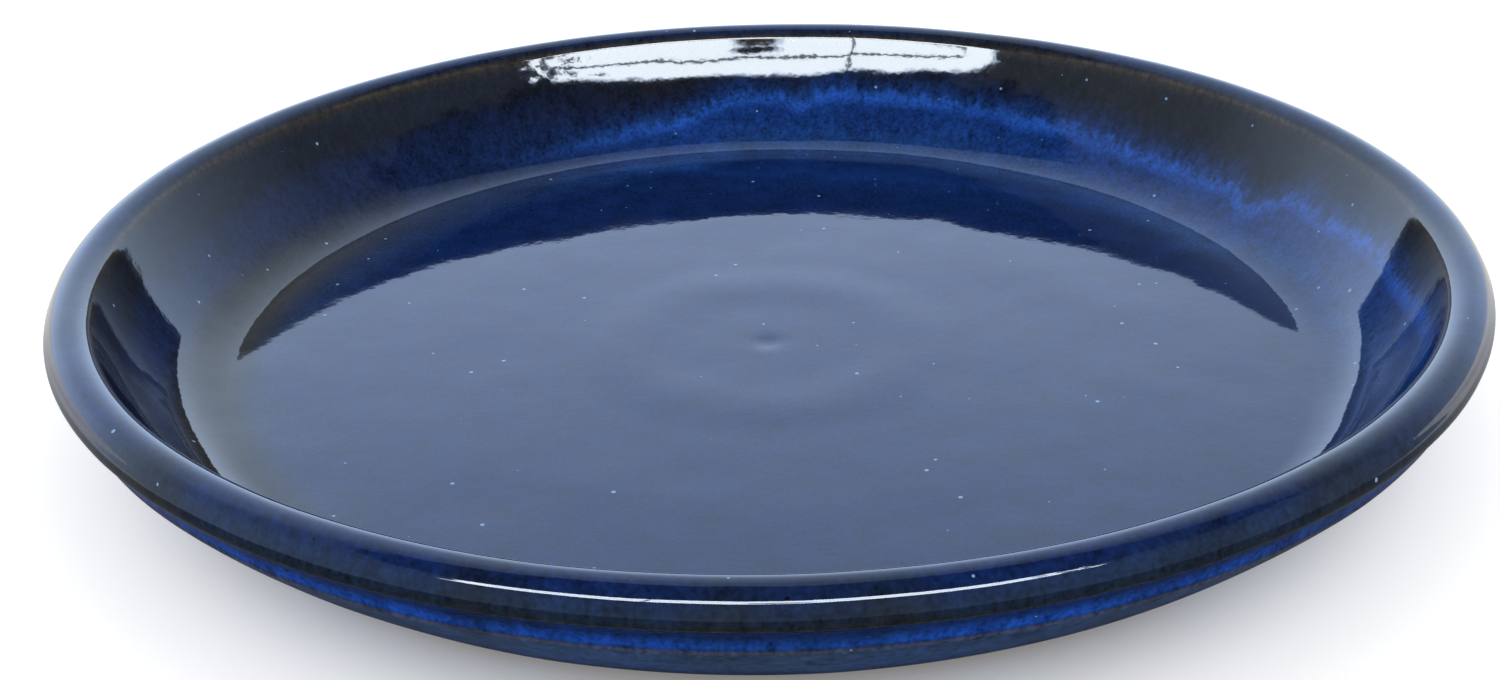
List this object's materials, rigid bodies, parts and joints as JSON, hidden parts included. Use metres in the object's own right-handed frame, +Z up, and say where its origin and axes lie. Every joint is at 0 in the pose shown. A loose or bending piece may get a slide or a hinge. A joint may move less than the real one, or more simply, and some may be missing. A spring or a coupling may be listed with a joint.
{
  "type": "plant saucer",
  "caption": "Round thrown stoneware saucer with a rolled and beaded rim, glazed all over but its foot, that stands under a plant pot and catches the water.",
  "frame": {"origin": "on the ground, at the centre of the foot ring", "axes": "+Z up, along the axis that the saucer was thrown on; X and Y are level and alike, because the saucer is round"},
  "size_m": [0.356, 0.356, 0.043],
  "materials": {
    "bare_stoneware": "unglazed, wiped, matt",
    "blue_glaze": "glossy cobalt glaze, speckled, breaking brown over the edges"
  },
  "bodies": {
    "root": {"clay_body": "bare_stoneware", "glaze_coat": "blue_glaze"}
  },
  "joints": []
}
